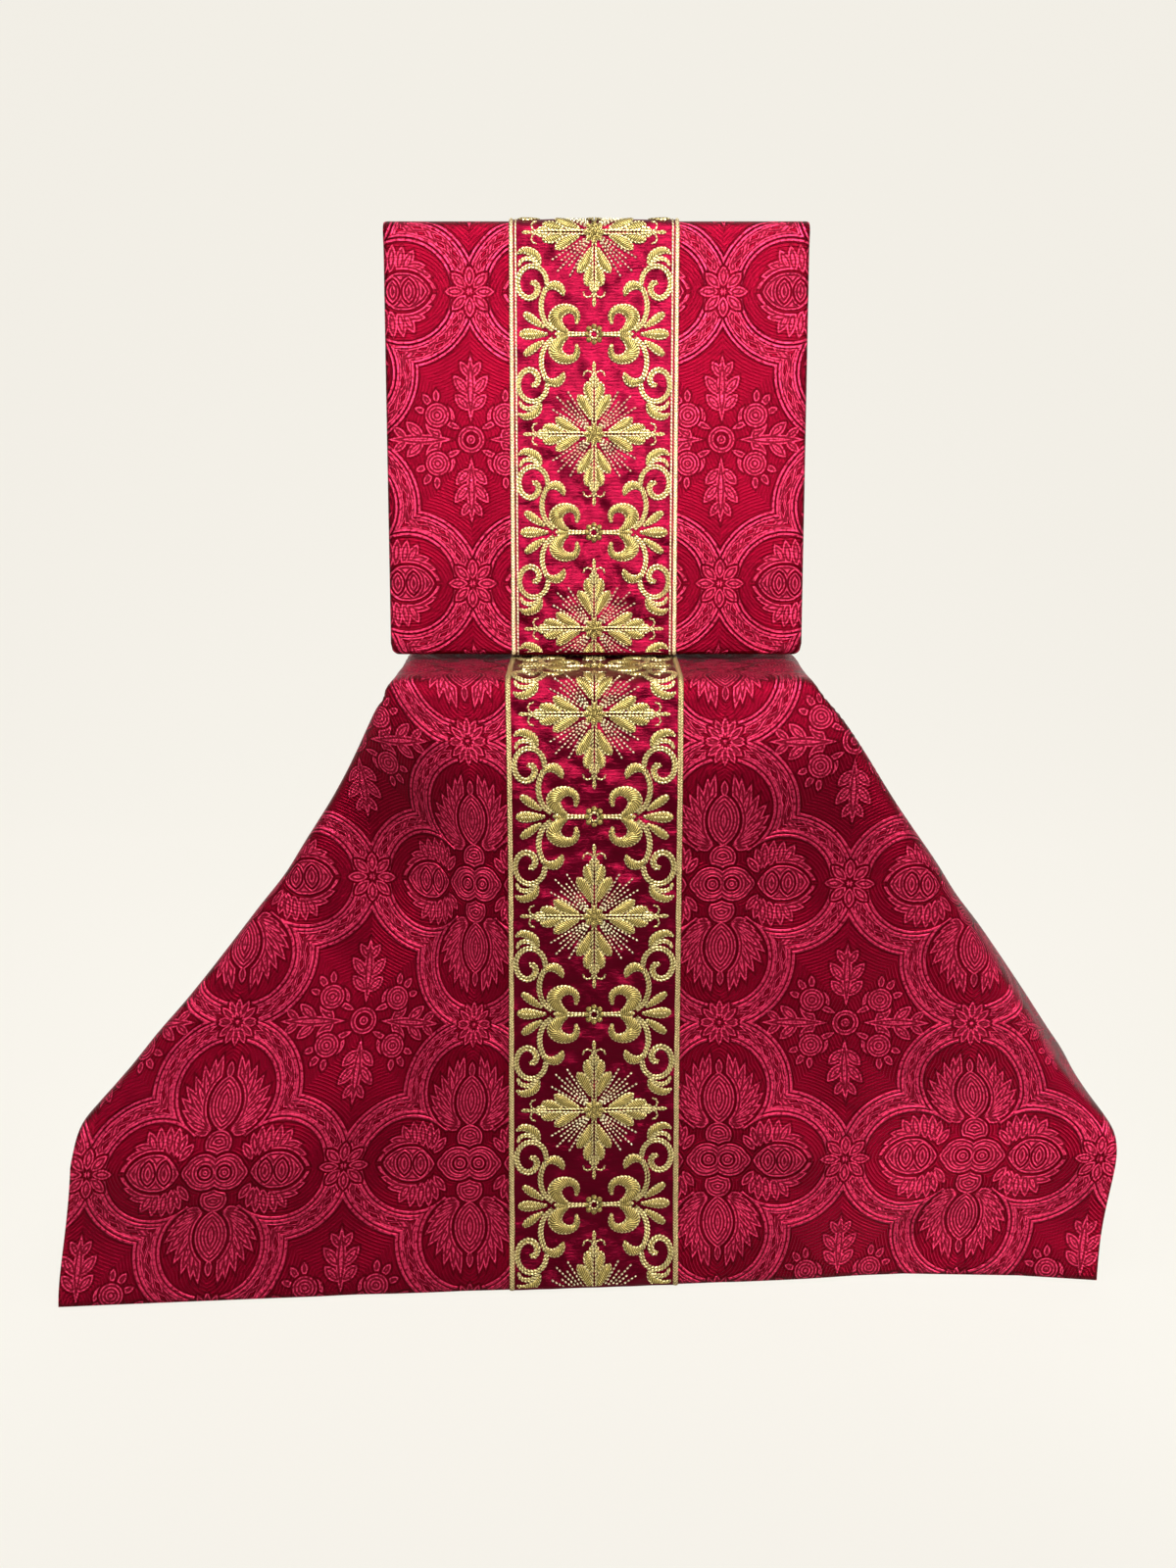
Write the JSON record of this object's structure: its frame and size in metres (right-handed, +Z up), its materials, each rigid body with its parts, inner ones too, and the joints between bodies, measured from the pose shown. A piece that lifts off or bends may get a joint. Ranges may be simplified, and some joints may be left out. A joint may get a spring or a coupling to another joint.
{
  "type": "chalice veil and burse on a stand",
  "caption": "Square damask chalice veil with an embroidered centre band, draped over a small stand, with its stiff square burse standing on top.",
  "frame": {"origin": "on the standing surface, below the middle of the whole part's box", "axes": "+Z up, +Y from the front of the veil to its back, +X to the right seen from the front"},
  "size_m": [0.5626, 0.2506, 0.5603],
  "materials": {
    "damask": "crimson figured silk damask, satin ground with a matt figure",
    "band_satin": "deep crimson satin, slightly puckered by the stitching",
    "gold_thread": "pale gold metal thread embroidery",
    "stand_wood": "plain smooth pale wood, matt"
  },
  "bodies": {
    "root": {"veil_panel": "damask", "veil_orphrey": "band_satin", "veil_braid_left": "gold_thread", "veil_braid_right": "gold_thread", "veil_cross_1": "gold_thread", "veil_cross_2": "gold_thread", "veil_cross_3": "gold_thread", "veil_cross_4": "gold_thread", "veil_cross_5": "gold_thread", "veil_cross_6": "gold_thread", "veil_scroll_1": "gold_thread", "veil_scroll_2": "gold_thread", "veil_scroll_3": "gold_thread", "veil_scroll_4": "gold_thread", "veil_scroll_5": "gold_thread", "burse_front": "damask", "burse_back": "damask", "burse_hinge": "damask", "burse_orphrey": "band_satin", "burse_braid_left": "gold_thread", "burse_braid_right": "gold_thread", "burse_cross_1": "gold_thread", "burse_cross_2": "gold_thread", "burse_cross_3": "gold_thread", "burse_cross_4": "gold_thread", "burse_cross_5": "gold_thread", "burse_scroll_1": "gold_thread", "burse_scroll_2": "gold_thread", "burse_scroll_3": "gold_thread", "burse_scroll_4": "gold_thread", "stand_board": "stand_wood", "stand_post": "stand_wood", "stand_foot": "stand_wood"}
  },
  "joints": []
}
